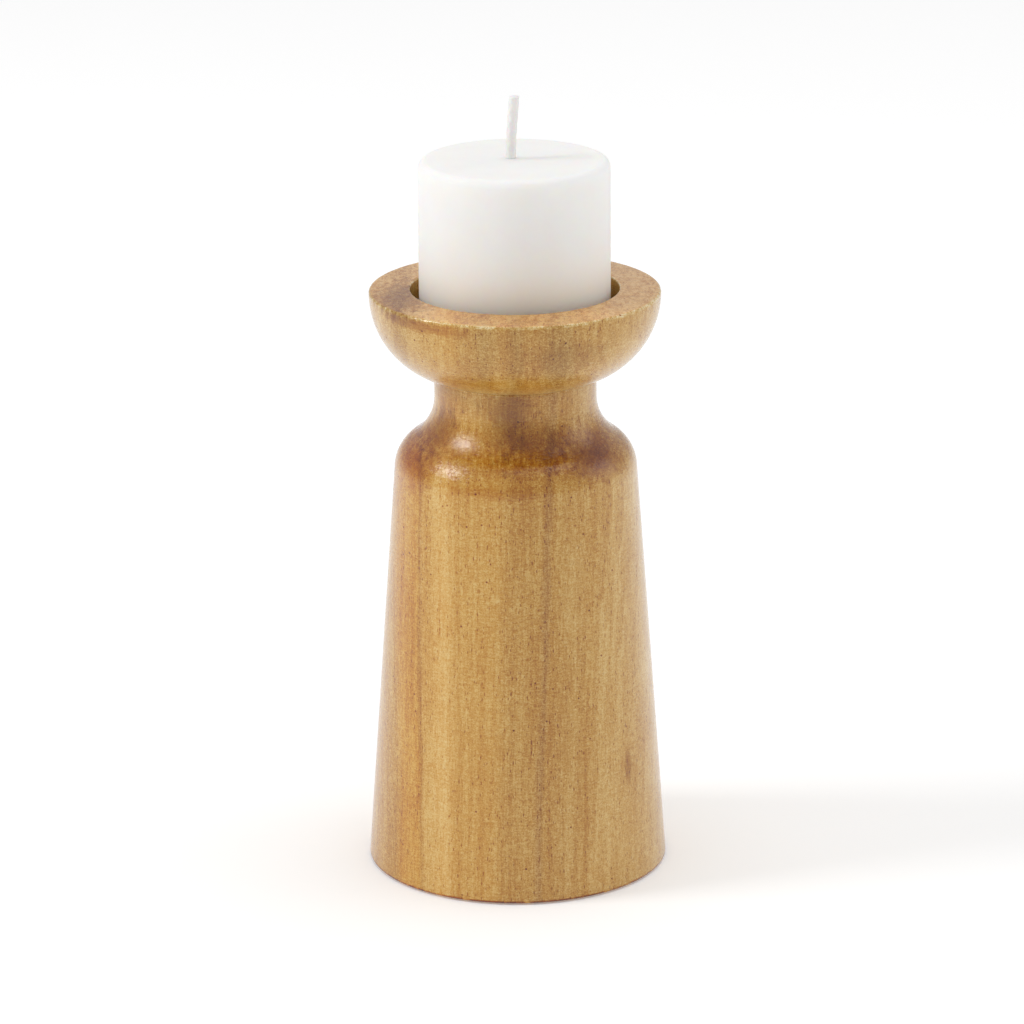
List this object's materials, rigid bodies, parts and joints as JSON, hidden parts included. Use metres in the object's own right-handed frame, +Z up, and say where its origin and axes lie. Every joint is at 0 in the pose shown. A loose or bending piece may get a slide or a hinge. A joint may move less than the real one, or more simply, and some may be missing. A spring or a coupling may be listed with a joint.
{
  "type": "turned wooden candle holder",
  "caption": "Turned wooden candle holder with a tapered stem, a waisted neck and a dished cup that seats a short white pillar candle, on a felt base pad.",
  "frame": {"origin": "centre of the felt base pad's underside, on the surface that the holder stands on", "axes": "+Z up along the turning axis; +X to the right and +Y away when the holder is seen from the front, where the wick leans towards +X"},
  "size_m": [0.0796, 0.0796, 0.2075],
  "materials": {
    "stem_wood": "satin",
    "cup_wood": "satin",
    "felt": "matte",
    "wax": "satin",
    "wick_cotton": "matte",
    "tinplate": "satin"
  },
  "bodies": {
    "holder": {"stem": "stem_wood", "cup": "cup_wood", "base_pad": "felt"},
    "candle": {"candle_wax": "wax", "wick": "wick_cotton", "wick_tab": "tinplate"}
  },
  "joints": [
    {"name": "candle_lift", "type": "slide", "parent": "holder", "child": "candle", "axis": [0, 0, 1], "range_m": [0, 0.05]}
  ]
}
